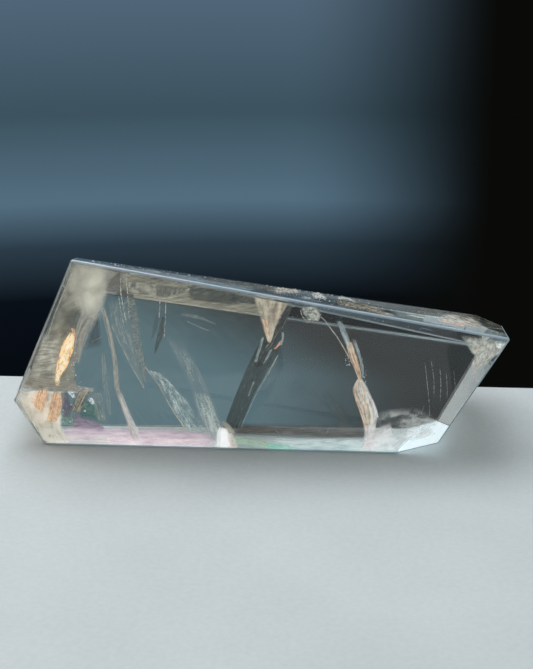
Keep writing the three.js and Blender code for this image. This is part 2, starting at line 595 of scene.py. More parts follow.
# A dark sheet between the two legs: painted shade.
crack("dark_wedge", (
    (14.2, 33, 15), (12.3, 28.6, 15), (10.2, 23.6, 15),
), (
    (14.7, 33, 17), (15, 28.6, 17), (15.4, 25, 17),
), break_look("dark_wedge", [
    (0.2, (50, 64, 70)), (0.8, (78, 94, 100)),
], glow=0.4, drawn=(3, 1), torn=0.3, end=0.8, solid=0.8), 0.05)
streak("milky_leg_line", 0.22, 1, ((10.8, 24.7, 16), (13, 26.2, 16), (15.1, 27.6, 16)), leg)
crack("milky_foot", (
    (-5.6, 13.4, 2), (-4.8, 8.2, 2), (-2, 3, 1.4), (0.2, 0.2, 0.5),
), (
    (6.4, 14, 12), (5.4, 9, 11), (5, 4.8, 9), (6.4, 0.4, 2),
), break_look("cloudy_foot", [
    (0.2, (190, 186, 172)), (0.5, (222, 219, 205)), (0.8, (250, 249, 240)),
], cover=0.95, grain=420, drawn=(2, 2), edge=0.5, end=0.15, lean=0.2), sway=0.4)
healed = break_look("healed_line", [
    (0.2, (150, 148, 134)), (0.8, (196, 194, 180)),
], cover=0.8, drawn=(1, 6), torn=0.4, edge=0.8, solid=0.35)
crack("healed_line", (
    (9.4, 42.9, 1.2), (7.3, 38.4, 1.2), (4.5, 31.8, 1.2), (2.2, 25.6, 1.2),
), (
    (9.7, 42.9, 1.2), (7.6, 38.4, 1.2), (4.8, 31.8, 1.2), (2.5, 25.6, 1.2),
), healed, sway=0.05, columns=2)

# ---------------------------------------------------------------------------------------------
# The tall veils: two cleavage cracks that start beside the milky corner and run down towards the
# base, one narrow and bowed, the other fanned out in fine steps. They are see-through and streaked.

pale_veil = break_look("pale_cleavage", [
    (0.15, (128, 128, 122)), (0.5, (164, 160, 150)), (0.9, (206, 199, 186)),
], cover=0.9, drawn=(4, 0.8), torn=0.4)
pale_foot = break_look("pale_cleavage_foot", [
    (0.15, (200, 196, 196)), (0.9, (240, 238, 238)),
], cover=0.9, drawn=(4, 0.8), torn=0.4, edge=0.9, end=0.5, solid=0.7)
pale_veil_foot = break_look("pale_cleavage_low", [
    (0.15, (190, 188, 186)), (0.9, (238, 234, 236)),
], drawn=(4, 0.6), end=0.8, solid=0.75)
thin_veil = break_look("thin_cleavage", [
    (0.1, (122, 136, 138)), (0.6, (146, 153, 150)), (0.9, (176, 180, 174)),
], cover=0.6, drawn=(7, 0.7), torn=0.5, edge=0.4, solid=0.35)
bright_line = break_look("bright_step", [
    (0.2, (146, 144, 132)), (0.8, (198, 194, 182)),
], grain=1200, drawn=(1, 7), torn=0.4, edge=0.8, solid=0.35)
beads = break_look("beaded_line", [
    (0.2, (150, 150, 140)), (0.8, (208, 206, 196)),
], cover=0.95, drawn=(1, 16), torn=0.5, edge=0.9, solid=0.1)
crack("bowed_veil", (
    (14.9, 35.2, 15), (15.4, 32, 14), (16.1, 28, 14), (16.6, 24.4, 12), (17, 20.1, 12), (17.1, 14.5, 11),
    (18.3, 9.9, 8), (19.5, 5.5, 6), (20.3, 2, 3),
), (
    (16.1, 34.8, 20), (16.8, 32, 20), (17.5, 28, 19), (18, 24.4, 18), (18.4, 20.1, 18), (18.7, 14.5, 17),
    (20.1, 9.9, 14), (21.5, 5.5, 11), (22, 2, 4),
), pale_veil, sway=0.1, rows=60)
crack("bowed_veil_foot", (
    (17.4, 14.4, 8), (18.6, 9.9, 8), (19.6, 5.5, 6), (20.8, -0.1, 0.6),
), (
    (18.9, 14.4, 14), (20.2, 9.9, 14), (21.8, 5.5, 11), (23.8, -0.1, 1),
), pale_veil_foot, 0.05)
crack("bowed_veil_shadow", (
    (14.6, 24, 16), (14.5, 15.6, 15), (15, 11.6, 14), (15.7, 8, 14),
), (
    (15.6, 24, 18), (15.8, 15.6, 18), (16.2, 11.6, 16), (16.1, 7.6, 15),
), thin_veil, sway=0.1)
crack("fanned_veil", (
    (16.6, 36.3, 16), (17.4, 30.1, 17), (19.2, 25.8, 18), (21.2, 20.9, 18), (23.9, 14.6, 17),
), (
    (21.3, 37.4, 21), (21.7, 30.4, 22), (22.3, 25.6, 22), (23, 20.7, 21), (24.2, 14.6, 19),
), thin_veil)
streak("fanned_veil_edge", 0.3, 1, (
    (17.2, 30.6, 14), (19, 25.9, 14), (21, 21, 14), (22.8, 17.2, 14), (23.9, 14.8, 14),
), bright_line)
crack("stepped_veil", (
    (21.1, 37.8, 13), (21.3, 31.6, 13), (21.9, 25.6, 13), (23, 20, 13), (24.2, 15.6, 13),
), (
    (22.8, 37.4, 17), (23.5, 31.7, 18), (23.9, 26.9, 18), (24.4, 22, 18), (24.6, 15.6, 17),
), break_look("stepped_cleavage", [
    (0.2, (116, 124, 120)), (0.6, (142, 143, 134)), (0.9, (168, 167, 156)),
], cover=0.7, drawn=(1.2, 44), torn=0.45, edge=0.7, solid=0.5), sway=0.15)
streak("veil_line_left", 0.35, 1, ((20.1, 43.6, 8), (19.8, 37.3, 10), (20.6, 31.1, 12)), beads, 0.08)
streak("veil_line_right", 0.35, 1, ((21.2, 43.5, 8), (21.2, 37.7, 10), (21.3, 31.6, 12)), beads, 0.08)
streak("veil_line_beside", 0.25, 1, ((19.2, 37.6, 8), (19.6, 33.6, 10), (20, 30.6, 12)), beads)
streak("long_step", 0.5, 2, (
    (24.1, 20.6, 15), (25.8, 18.1, 15), (27.3, 15.6, 15), (28.7, 12.4, 15), (30.2, 9.4, 15),
    (31.9, 6.7, 15), (33, 4.4, 14),
), break_look("warm_step", [
    (0.2, (150, 138, 122)), (0.8, (206, 196, 180)),
], cover=0.9, drawn=(2, 5), torn=0.4, edge=0.9, end=0.2, solid=0.5), 0.1)

# ---------------------------------------------------------------------------------------------
# Middle breaks: a field of tiny open specks beside the long step, two hazes next to it, two faint
# wisps above, and a dark needle with a dimmer one beside it. The needles may be hollow tubes.


FLAKE_CORNERS = 6


def specks(name, sides, count, size, material, seed, seat=kept_inside):
    """Tiny uneven flakes strewn between two sides, each turned its own way."""
    left, right = sides
    shaped = bmesh.new()
    layer = shaped.loops.layers.uv.new("place")
    for index in range(count):
        draw = [noise.cell(Vector((seed, index, k))) for k in range(9)]
        share = (index + 0.5 + 0.5 * draw[0]) / count
        middle = seat(curve_at(left, share).lerp(curve_at(right, share), abs(draw[1])))
        wide = size * (0.35 + abs(draw[2]) ** 2 * 1.3)    # most are small
        tilt = Matrix.Rotation(draw[3] * 1.2, 3, "X") @ Matrix.Rotation(draw[4] * 3, 3, "Y")
        corners = []
        for k in range(FLAKE_CORNERS):
            angle = k * math.tau / FLAKE_CORNERS
            far = wide * (0.7 + 0.3 * noise.cell(Vector((index, k, seed))))
            corner = tilt @ Vector((math.cos(angle) * far, 0, math.sin(angle) * far * (0.5 + 0.4 * draw[5])))
            corners.append(shaped.verts.new((middle + corner) * MM))
        face = shaped.faces.new(corners)
        for loop in face.loops:
            loop[layer].uv = (0.5, 0.5)
    return inner_piece(name, shaped, material)


speck = break_look("open_speck", [
    (0.2, (172, 174, 166)), (0.8, (230, 230, 224)),
], torn=0.2, edge=0.35, solid=0.35)
dim_speck = break_look("faint_speck", [
    (0.2, (120, 128, 126)), (0.8, (176, 178, 170)),
], cover=0.55, torn=0.25, edge=0.35, solid=0.35)
speckle_sides = (
    behind((25, 19.8, 15), (27.5, 15.6, 15), (30, 9.9, 15), (33.2, 4.2, 13)),
    behind((27.6, 18.8, 19), (30.7, 15.7, 20), (33.9, 11.6, 20), (37.8, 4.4, 16)),
)
veil("speckled_break", speckle_sides, break_look("speckled_break", [
    (0.2, (128, 146, 148)), (0.6, (172, 188, 188)), (0.9, (226, 236, 234)),
], cover=0.9, grain=3600, drawn=(2, 3), torn=0.5, edge=0.6, end=0.15, solid=0.25))
specks("speckles", speckle_sides, 420, 0.13, speck, 3)
foot_haze_sides = (
    behind((34.4, 15, 13), (35.4, 9.4, 12), (37.2, 3.6, 10)),
    behind((39, 13.6, 18), (41, 8.4, 17), (42.6, 3.6, 14)),
)
veil("foot_haze", foot_haze_sides, break_look("foot_haze", [
    (0.2, (146, 160, 160)), (0.8, (200, 210, 206)),
], cover=0.95, grain=2400, drawn=(5, 0.9), torn=0.42, end=0.6, solid=0.4))
haze_sides = (
    behind((28.4, 28.6, 14), (32, 20.5, 14), (34.6, 13.6, 13), (35.4, 3.8, 11)),
    behind((32.8, 27.8, 20), (36.8, 19.6, 20), (39.7, 12.2, 19), (42.4, 4, 15)),
)
veil("haze", haze_sides, break_look("pale_haze", [
    (0.2, (122, 137, 139)), (0.8, (178, 186, 182)),
], cover=0.5, grain=2400, drawn=(5, 0.9), torn=0.5, end=0.8, solid=0.25))
specks("haze_specks", haze_sides, 220, 0.1, dim_speck, 5)
dark_needle = break_look("hollow_needle", [
    (0.2, (38, 48, 50)), (0.6, (66, 78, 78)), (0.95, (150, 156, 150)),
], glow=0.35, grain=1300, drawn=(5, 1), torn=0.3, edge=0.3, solid=0.5)
crack("needle", (
    (28.7, 33, 12), (27.6, 29.1, 13), (26.8, 25.7, 14), (26.5, 23.5, 14),
), (
    (29.3, 33, 15), (28.9, 28.9, 16), (27.7, 25.7, 15), (26.7, 23.5, 14),
), dark_needle, 0.05)
crack("needle_beside", (
    (27.2, 33.4, 14), (26.3, 29.6, 14), (25.8, 26.8, 14),
), (
    (28.2, 33.4, 15), (27.4, 29.6, 15), (26.1, 26.8, 14),
), break_look("dim_needle", [
    (0.2, (66, 80, 82)), (0.8, (100, 114, 114)),
], cover=0.6, glow=0.35, drawn=(4, 1), edge=0.7, end=0.6), 0.05)
streak("needle_streak", 0.3, 1, ((28.3, 37.5, 12), (28.1, 34.6, 12), (27.9, 32.2, 13)), beads, 0.04)
streak("needle_streak_long", 0.26, 1, ((29.6, 37.5, 12), (29.2, 31.3, 13), (28.8, 27.4, 13)), beads, 0.04)
crack("wisp_high", (
    (32.6, 33.6, 12), (36, 33.2, 12), (40.4, 31.2, 12),
), (
    (32.8, 32.9, 13), (36.2, 32.3, 13), (40.6, 30.8, 13),
), thin_veil, 0.15)
crack("wisp_low", (
    (34, 31.8, 14), (36.4, 30.6, 14), (39, 29.6, 14),
), (
    (34, 31.3, 15), (36.6, 30.1, 15), (39, 29.2, 15),
), thin_veil, 0.15)

# ---------------------------------------------------------------------------------------------
# The dark band: one large crack that lies steeply across the stone. It is dark with light streaks,
# a cream fan lies above it, and a white flake and a small brownish facet lie at its foot.

# The dark of the band and of the black streak is painted reflection of the dark around the stone.
dark_break = break_look("closed_cleavage", [
    (0.2, (38, 48, 48)), (0.55, (52, 62, 60)), (0.78, (66, 76, 74)), (0.96, (120, 128, 124)),
], cover=0.88, glow=0.4, drawn=(9, 0.3), torn=0.25, edge=0.12, end=0.12, solid=0.85)
crack("dark_band", (
    (50.4, 28, 17), (48.1, 23.4, 17), (45.2, 16.2, 17), (42.2, 7.9, 15), (41.2, 5.2, 13),
), (
    (54.4, 25.6, 22), (53.4, 23.2, 22), (51.2, 19.2, 21), (48.3, 13.4, 20), (45.2, 5.2, 17),
), dark_break, 0.1, rows=48, columns=12)
black_break = break_look("black_cleavage", [
    (0.3, (14, 18, 18)), (0.55, (34, 40, 38)), (0.7, (82, 86, 78)), (0.9, (168, 168, 154)),
], cover=0.95, glow=0.4, drawn=(6, 1.1), torn=0.25, edge=0.25, end=0.1, solid=0.8)
crack("dark_streak", (
    (56, 36, 15), (53.3, 30.6, 16), (50.6, 25.7, 16), (48.4, 21, 16),
), (
    (57.1, 35.6, 18), (55.3, 30.9, 19), (52.3, 25.2, 19), (50.2, 20.6, 18),
), black_break, 0.1, columns=12)
silver = break_look("silver_streak", [
    (0.2, (96, 108, 108)), (0.8, (176, 188, 188)),
], drawn=(3, 2), edge=0.8, end=0.5, solid=0.55)
streak("band_streak_left", 0.8, 1, ((50.6, 28.4, 15), (49.8, 25.2, 15), (48.9, 21.8, 15)), silver, 0.08)
streak("band_streak_middle", 0.6, 1, ((52.5, 25.4, 14), (51.6, 23.5, 14), (50.6, 21.6, 14)), silver)
streak("band_streak_right", 0.45, 1, ((54, 24.2, 15), (52.7, 21.4, 15), (51.4, 18.6, 15)), silver)
streak("band_streak_low", 0.4, 1, ((48.6, 17.4, 15), (47.9, 15.4, 15), (47.2, 13.4, 15)), silver)
streak("band_streak_high", 0.6, 1, ((54.9, 29.6, 15), (54.9, 27.8, 15), (54.5, 26.2, 15)), silver)
streak("band_edge", 0.25, 1, (
    (53.8, 23.8, 16), (51.4, 18.9, 16), (48.7, 13.4, 15), (46.2, 7.4, 14), (45.4, 5.4, 14),
), silver)
cream = break_look("cream_fan", [
    (0.1, (164, 150, 132)), (0.5, (194, 184, 164)), (0.9, (222, 214, 196)),
], cover=0.92, drawn=(4, 0.7), torn=0.36, edge=0.5, end=0.15, solid=0.7)
ember = break_look("warm_break", [
    (0.15, (156, 140, 124)), (0.42, (212, 172, 140)), (0.65, (232, 204, 176)), (0.95, (246, 238, 224)),
], cover=0.92, drawn=(5, 0.8), torn=0.38, edge=0.7)
crack("cream_fan", (
    (48.2, 38.8, 13), (49.5, 33.9, 14), (50.4, 30.8, 14), (51.6, 26.8, 15),
), (
    (57.2, 37.6, 14), (55, 33.6, 15), (53.6, 30.4, 15), (52.3, 26.6, 15),
), cream, 0.2, columns=12)
crack("fan_glint", (
    (50.2, 32.6, 12), (50.8, 30, 13), (51.6, 27, 14),
), (
    (51.8, 32.6, 13), (52.1, 30, 13), (52.2, 27, 14),
), ember, 0.1)
streak("fan_blush", 1.2, 1, (
    (54.6, 35.4, 13), (54, 33.6, 13), (53.2, 31.8, 13),
), break_look("fan_blush", [
    (0.2, (206, 172, 142)), (0.8, (226, 196, 168)),
], cover=0.5, torn=0.4, end=1.0, solid=0.7))
streak("band_glint", 0.75, 1, (
    (54.7, 27.5, 15), (53.9, 26.2, 15), (53.1, 25.3, 15),
), break_look("salmon_glint", [
    (0.2, (196, 132, 104)), (0.8, (236, 178, 148)),
], cover=0.95, drawn=(3, 2), edge=0.7, end=0.5))
crack("foot_facet", (
    (40.8, 7.4, 13), (41.4, 5, 12), (43.2, 3.6, 11),
), (
    (42, 7.4, 14), (44, 5.2, 13), (44.6, 3.8, 11),
), break_look("brown_facet", [
    (0.2, (150, 144, 132)), (0.8, (206, 200, 188)),
], cover=0.7, drawn=(3, 1), torn=0.25, end=0.8), 0.05)
crack("foot_flake", (
    (40.4, 6, 12), (39.6, 4.2, 9), (39.4, 2, 5), (38.9, -0.1, 0.4),
), (
    (42.4, 5.4, 12), (43, 4.2, 9), (43.2, 2, 5), (43.8, -0.1, 0.4),
), break_look("white_flake", [
    (0.1, (224, 224, 226)), (0.9, (255, 255, 255)),
], cover=1.0, glow=0.8, drawn=(2, 1), end=0.8), 0.05)
crack("foot_blush", (
    (42, 4.6, 11), (42, 2, 6), (42, -0.1, 0.6),
), (
    (43.6, 4.2, 11), (44.6, 2, 6), (45.4, -0.1, 0.6),
), break_look("foot_blush", [
    (0.1, (204, 188, 180)), (0.9, (234, 224, 218)),
], cover=0.8, drawn=(2, 1), torn=0.3, end=0.5, solid=0.7), 0.05)

# ---------------------------------------------------------------------------------------------
# The right crack: a crooked crack from just under the top down to the base, in leaves that overlap
# and pinch together half way down. It glints orange and bluish, perhaps from thin films of air,
# and a pale cloud spreads from its foot.

bluish = break_look("air_film_blue", [
    (0.1, (112, 128, 132)), (0.5, (152, 168, 170)), (0.9, (206, 216, 216)),
], drawn=(4, 0.8), torn=0.38, edge=0.9, end=0.7)
streak("crack_brow", 0.42, 1, (
    (63.2, 33.4, 13), (64.3, 32.1, 13), (66.5, 29, 13), (68.5, 25.6, 13), (69.6, 23.4, 13),
), bright_line)
crack("crack_leaf_high", (
    (66.2, 32.6, 12), (66.9, 31.1, 12), (67.9, 28.5, 12), (69.2, 25.4, 12),
), (
    (67.8, 32.6, 15), (68.3, 31.3, 16), (69.3, 29.1, 16), (70.4, 25.6, 15),
), bluish, 0.1)
crack("crack_leaf_middle", (
    (68.5, 27.6, 13), (69.4, 23.7, 13), (70.7, 20.7, 13), (71.7, 18, 13),
), (
    (70.3, 27.6, 16), (71.4, 24, 16), (72.2, 20.8, 16), (72.4, 18, 15),
), ember, 0.1)
crack("crack_leaf_back", (
    (69.9, 28.4, 14), (71.2, 24.6, 14), (72.2, 20.8, 14), (72.3, 18.4, 14),
), (
    (70.9, 28.4, 16), (72.1, 24.6, 16), (72.9, 20.8, 16), (72.7, 18.4, 15),
), bluish, 0.1)
specks("crack_grains_left", (
    behind((68.8, 24.2, 11), (68.7, 23, 11), (68.9, 21.6, 11)),
    behind((70.3, 24.2, 13), (70.2, 23, 13), (70.2, 21.6, 13)),
), 34, 0.22, speck, 14)
specks("crack_grains_right", (
    behind((71.9, 23.6, 11), (72.6, 21, 11), (72.5, 18.6, 11), (73, 16, 11)),
    behind((72.7, 23.6, 13), (73.9, 20.8, 14), (73.4, 18.6, 14), (74, 16, 13)),
), 46, 0.17, speck, 15)
crack("crack_leaf_low", (
    (71.4, 18.6, 13), (70.3, 16.1, 13), (70.9, 13.3, 13), (72, 10.5, 13), (73.1, 5.4, 12),
), (
    (72.5, 18.6, 16), (73.5, 17, 17), (74.8, 14.2, 17), (76.2, 10.4, 17), (75.8, 5.2, 15),
), break_look("warm_grey_break", [
    (0.15, (168, 150, 132)), (0.4, (204, 188, 170)), (0.62, (220, 218, 210)), (0.9, (250, 250, 246)),
], cover=0.94, drawn=(5, 0.7), torn=0.33, edge=0.6, end=0.15, lean=0.35, solid=0.65), 0.12, columns=12)
streak("crack_rim", 0.5, 0.5, (
    (70.8, 16.2, 12), (71.3, 13.2, 12), (72.3, 10.2, 12), (73.3, 7, 12), (73.6, 5, 12),
), ember)
streak("crack_rim_inner", 0.5, 0.5, (
    (72.3, 17.9, 12), (73, 15.2, 12), (73.4, 12.4, 12), (73.8, 9.6, 12),
), ember)
crack("crack_wing", (
    (74.2, 14, 13), (74.8, 11.6, 13), (75.6, 8.9, 13),
), (
    (74.8, 13.8, 15), (76, 11, 15), (76.5, 8.5, 15),
), pale_foot, 0.1)
crack("crack_smear", (
    (73, 7.4, 13), (72.7, 3, 7), (71.4, 0, 0.5),
), (
    (76, 7.4, 15), (75.6, 3, 8), (76.6, 0, 0.7),
), pale_foot, 0.1)
crack("crack_spread", (
    (74, 5.6, 12), (76, 6.6, 12), (79, 8.4, 12),
), (
    (73, 0.2, 1), (77, 0.4, 1), (81, 1.6, 3),
), pale_foot, 0.1)
cloud_sides = (
    behind((75, 10.2, 14), (79, 11.6, 14), (84.4, 11.8, 14), (90.8, 9.4, 13)),
    behind((74.6, 2.4, 8), (79.6, 2.2, 8), (84, 2.4, 8), (88.6, 4.4, 9)),
)
veil("low_cloud", cloud_sides, break_look("low_cloud", [
    (0.2, (134, 138, 134)), (0.8, (214, 216, 214)),
], cover=0.75, grain=500, drawn=(2.4, 2.4), torn=0.5, edge=0.8, end=0.6, lean=0.3, solid=0.15))
crack("low_white", (
    (75.6, 4.6, 8), (79, 5.4, 8), (83, 6, 8), (86.4, 7, 8),
), (
    (74.6, 0.1, 0.6), (77.6, 0, 0.6), (79.4, 0.1, 0.6), (80.6, 0.4, 0.8),
), break_look("low_white", [
    (0.2, (196, 204, 204)), (0.8, (244, 248, 248)),
], cover=0.8, grain=500, drawn=(2, 2), edge=0.8, end=0.5, solid=0.7), 0.1)
specks("cloud_specks", cloud_sides, 160, 0.12, dim_speck, 8)

# ---------------------------------------------------------------------------------------------
# Breaks under the top: a mottled skin of shallow cracks just inside the back part of the top, two
# leaf-shaped flakes near its left end, and a small shell-shaped break where the right crack
# begins.

top_skin = flats["top_back"]
skin_lights = break_look("mottled_light", [
    (0.2, (94, 95, 84)), (0.5, (132, 129, 114)), (0.9, (180, 174, 156)),
], cover=0.9, grain=420, drawn=(1.5, 8), torn=0.42, edge=0.7, end=0.2, solid=0.5)
skin_darks = break_look("mottled_dark", [
    (0.2, (30, 38, 38)), (0.6, (56, 63, 60)), (0.9, (104, 108, 100)),
], cover=0.95, grain=600, drawn=(2, 5), torn=0.4, edge=0.6, end=0.6, solid=0.5)
film("mottled_skin", top_skin, 0.5, (
    (19.6, 43.2), (28.4, 41.6), (37.1, 40), (45.7, 38.6), (52.8, 37.2),
), (
    (19.6, 37.4), (28.3, 36.4), (37, 35.2), (45.7, 34), (52.9, 33),
), skin_lights, rows=60)
film("mottled_patch_left", top_skin, 0.6, (
    (18.8, 39), (20.6, 38.9), (23, 38.6),
), (
    (18.6, 36.6), (20.6, 36.2), (22.6, 36.4),
), skin_darks)
film("mottled_patch_middle", top_skin, 0.6, (
    (34, 40.3), (39, 39.8), (46, 38.4),
), (
    (34.4, 36.6), (39, 36), (46, 35.6),
), skin_darks)
film("mottled_patch_right", top_skin, 0.6, (
    (43.6, 38.4), (46.6, 38), (49.6, 37.4),
), (
    (43.6, 36.6), (46.6, 36), (49.4, 35.8),
), skin_darks)
film("ridge_glow", top_skin, 0.45, (
    (19.8, 38), (28.3, 36.9), (37, 35.7), (45.7, 34.5), (52.9, 33.5),
), (
    (19.8, 36.9), (28.3, 35.8), (37, 34.6), (45.7, 33.4), (52.9, 32.4),
), break_look("ridge_glow", [
    (0.2, (150, 146, 128)), (0.8, (192, 186, 166)),
], grain=500, drawn=(1.5, 9), torn=0.4, end=0.2, solid=0.5), 0.03, rows=60)
crack("leaf_light", (
    (21.4, 40.7, 6), (24, 40.7, 6), (28, 40.3, 6),
), (
    (21.4, 38.2, 8), (24, 37.7, 8), (28, 37.4, 8),
), break_look("leaf_light", [
    (0.1, (70, 78, 72)), (0.35, (140, 140, 128)), (0.8, (182, 178, 162)),
], grain=700, drawn=(1.4, 3), torn=0.3, edge=0.4, solid=0.5), 0.05)
crack("leaf_dark", (
    (27.4, 40.4, 6), (30, 40, 6), (34.4, 39.5, 6),
), (
    (27.4, 37.3, 8), (29.6, 37.1, 8), (33.6, 38.6, 8),
), break_look("leaf_dark", [
    (0.2, (50, 60, 54)), (0.55, (92, 98, 88)), (0.9, (164, 162, 146)),
], drawn=(1.6, 12), torn=0.3, edge=0.5), 0.05)
streak("leaf_rim_high", 0.35, 0.2, (
    (21.5, 40.9, 5), (26.2, 40.7, 5), (31.7, 39.9, 5), (34.9, 39.7, 5),
), bright_line, 0.03)
crack("leaf_rim_low", (
    (21.3, 38.15, 7), (26.1, 37.55, 7), (29.4, 37.15, 7), (32.7, 37.95, 7), (35, 39.7, 6),
), (
    (21.3, 37.8, 7), (26.1, 37.2, 7), (29.4, 36.8, 7), (32.8, 37.6, 7), (35.1, 39.3, 6),
), bright_line, 0.03)
specks("skin_specks", (
    against(top_skin, 0.4, (11, 44.2), (28.4, 40.6), (50.8, 37)),
    against(top_skin, 0.4, (12, 41.5), (28.3, 37.4), (50.9, 34)),
), 120, 0.13, dim_speck, 11)
shell = break_look("shell_break", [
    (0.15, (112, 124, 120)), (0.45, (150, 152, 144)), (0.85, (204, 202, 192)),
], cover=0.95, grain=1300, drawn=(3, 3), torn=0.3, edge=0.6, end=0.5)
crack("shell_break", (
    (58.9, 35.6, 5), (59, 34, 7), (60.4, 32.3, 9),
), (
    (62.4, 35.9, 5), (63.6, 34, 7), (62.9, 32.2, 9),
), shell, 0.15)
streak("shell_rim", 0.35, 0.3, (
    (58.8, 35, 5), (59.2, 33.4, 6), (60.4, 32.1, 8), (62.2, 31.9, 9),
), bright_line)
specks("shell_grains", (
    behind((59.4, 35.4, 4), (59.4, 34, 5), (60.6, 32.6, 6)),
    behind((62.6, 35.6, 6), (63, 34, 7), (62.4, 32.6, 8)),
), 60, 0.15, speck, 17)

# ---------------------------------------------------------------------------------------------
# The fiery foot: a level crack at the left end, and above and under it small cracks that flash gold
# and orange, perhaps from thin films of air, with brushes of olive and violet and white grains.

crack("level_crack", (
    (-3.4, 16.8, 19), (0.4, 16.4, 20), (4.9, 15.9, 20), (9, 15.4, 20), (13.4, 14.9, 19),
), (
    (-4.2, 14.2, 7), (0.8, 13.5, 8), (4.8, 13.2, 8), (9, 13.1, 8), (12.3, 13.4, 8),
), break_look("level_crack", [
    (0.1, (118, 117, 110)), (0.6, (148, 146, 138)), (0.9, (192, 191, 184)),
], cover=0.9, drawn=(2, 9), torn=0.42, edge=0.8), 0.35, columns=10)
crack("level_haze", (
    (-2.6, 18, 2), (0.6, 17.4, 3), (4.4, 16.6, 4), (8.6, 15.8, 5),
), (
    (-4.2, 14.2, 2), (0.4, 13.8, 3), (4.8, 13.6, 4), (9.4, 13.6, 5),
), break_look("level_haze", [
    (0.2, (118, 112, 100)), (0.8, (178, 170, 154)),
], cover=0.75, grain=500, drawn=(12, 1.5), torn=0.45, edge=0.9, end=0.4, solid=0.4), 0.2)
chip_white_inner = break_look("inner_chip", [
    (0.1, (176, 186, 192)), (0.9, (244, 248, 250)),
], cover=0.95, glow=0.7, grain=1600, drawn=(3, 3), torn=0.42, edge=0.6, end=0.6, solid=0.3)
gold = break_look("gold_flash", [
    (0.12, (196, 132, 86)), (0.36, (238, 178, 118)), (0.6, (250, 218, 164)), (0.85, (255, 246, 220)),
], cover=1.0, glow=0.8, grain=2600, drawn=(5, 7), edge=0.3, end=0.2, rim=0.35, solid=0.4)
amber = break_look("amber_flash", [
    (0.2, (176, 132, 98)), (0.4, (226, 172, 124)), (0.65, (244, 204, 160)), (0.95, (252, 234, 208)),
], cover=0.92, grain=1400, drawn=(5, 1), torn=0.36, edge=0.5, end=0.5)
crack("gold_flash", (
    (8.1, 28.5, 8), (6, 25.3, 8), (4.7, 21.4, 8), (3.8, 17.2, 8), (3.9, 15, 8),
), (
    (9, 28.3, 10), (8.8, 25, 11), (7.4, 21, 11), (5.6, 17.4, 10), (4.6, 15, 9),
), gold, 0.15, columns=12)
streak("gold_flash_tip", 0.8, 1, ((8.6, 29.4, 8), (8.8, 28.6, 8), (8.8, 27.6, 8)), amber)
crack("amber_flash_outer", (
    (0.2, 14.4, 4), (-1.3, 11.6, 4), (-1.5, 10, 4), (-0.7, 8.8, 4),
), (
    (1.8, 14.6, 6), (1.8, 12.4, 7), (1.3, 10.6, 7), (0.4, 8.8, 6),
), amber, 0.15)
crack("amber_flash_inner", (
    (3.4, 13.8, 5), (1.9, 9.5, 5), (1.1, 5.6, 4),
), (
    (5, 13.8, 7), (5.2, 10, 8), (3.6, 5.6, 6),
), amber, 0.15)
specks("amber_grains", (
    behind((4.2, 29.6, 7), (3, 20, 7), (1, 15.6, 6), (4.4, 8, 5)),
    behind((9.4, 29.6, 9), (8, 20, 9), (6.8, 15.6, 8), (5.6, 8, 7)),
), 60, 0.2, amber, 41)
crack("red_brown_haze", (
    (-1.6, 27.4, 3), (-2, 24, 3), (-3.4, 20.6, 3),
), (
    (1.2, 27.8, 6), (0.6, 24, 7), (-0.8, 20.4, 7),
), break_look("red_brown_haze", [
    (0.2, (120, 84, 70)), (0.8, (176, 130, 108)),
], cover=0.5, grain=1100, drawn=(5, 3), torn=0.45, edge=0.5, solid=0.35), 0.1)
brush = break_look("olive_brush", [
    (0.2, (44, 46, 38)), (0.45, (96, 92, 74)), (0.62, (150, 142, 116)), (0.9, (214, 208, 186)),
], cover=0.95, drawn=(14, 0.6), torn=0.36, edge=0.4, solid=0.5)
crack("olive_brush", (
    (9, 14, 6), (7.8, 11.7, 6), (6.4, 9, 6),
), (
    (11.6, 13.8, 9), (10.4, 11.2, 9), (8.9, 7.8, 8),
), brush, 0.05, columns=12)
crack("open_chip", (
    (6.2, 13.8, 7), (6.9, 12.9, 7), (7.6, 12, 7),
), (
    (7.8, 13.9, 8), (8.2, 13, 8), (8.3, 12.2, 8),
), chip_white_inner, 0.1)
crack("open_chip_right", (
    (10.9, 12, 8), (11.4, 11.2, 8), (12, 10.4, 8),
), (
    (12, 12.6, 9), (12.5, 11.6, 9), (12.6, 10.8, 9),
), chip_white_inner, 0.1)
crack("chip_haze", (
    (11.4, 14, 9), (12, 10.4, 9), (12.6, 6.2, 9),
), (
    (14.2, 13.6, 12), (14.8, 10.2, 12), (15.2, 6.2, 12),
), thin_veil, 0.2)
crack("violet_brush", (
    (4.9, 13.6, 8), (4.9, 10.4, 8), (4.8, 7, 8),
), (
    (6.4, 13.4, 10), (7.1, 10.4, 10), (7, 7, 10),
), break_look("violet_brush", [
    (0.1, (58, 58, 74)), (0.6, (88, 82, 100)), (0.9, (150, 134, 152)),
], cover=0.8, drawn=(3, 2), edge=0.7, end=0.4), 0.05)
grain_sides = (
    behind((8, 24.5, 7), (6.6, 18, 7), (6.2, 12.8, 6), (7.4, 9.6, 6), (13.2, 7.6, 8)),
    behind((9.4, 24.2, 9), (9.2, 18, 10), (12.4, 12.6, 11), (14.4, 10.4, 12), (16.4, 7.4, 12)),
)
specks("white_grains", grain_sides, 80, 0.26, speck, 21)
specks("foot_grains", (
    behind((-4.4, 13, 2), (-2.4, 7.4, 2), (0.6, 1.4, 1)),
    behind((6, 13, 9), (8, 8, 9), (6, 2, 4)),
), 110, 0.24, speck, 24)
specks("wall_grains", (
    behind((9.4, 43.4, 3), (4, 33, 4), (-2.4, 17, 4)),
    behind((16, 43, 9), (9, 31, 10), (6.4, 16, 10)),
), 130, 0.2, dim_speck, 27)

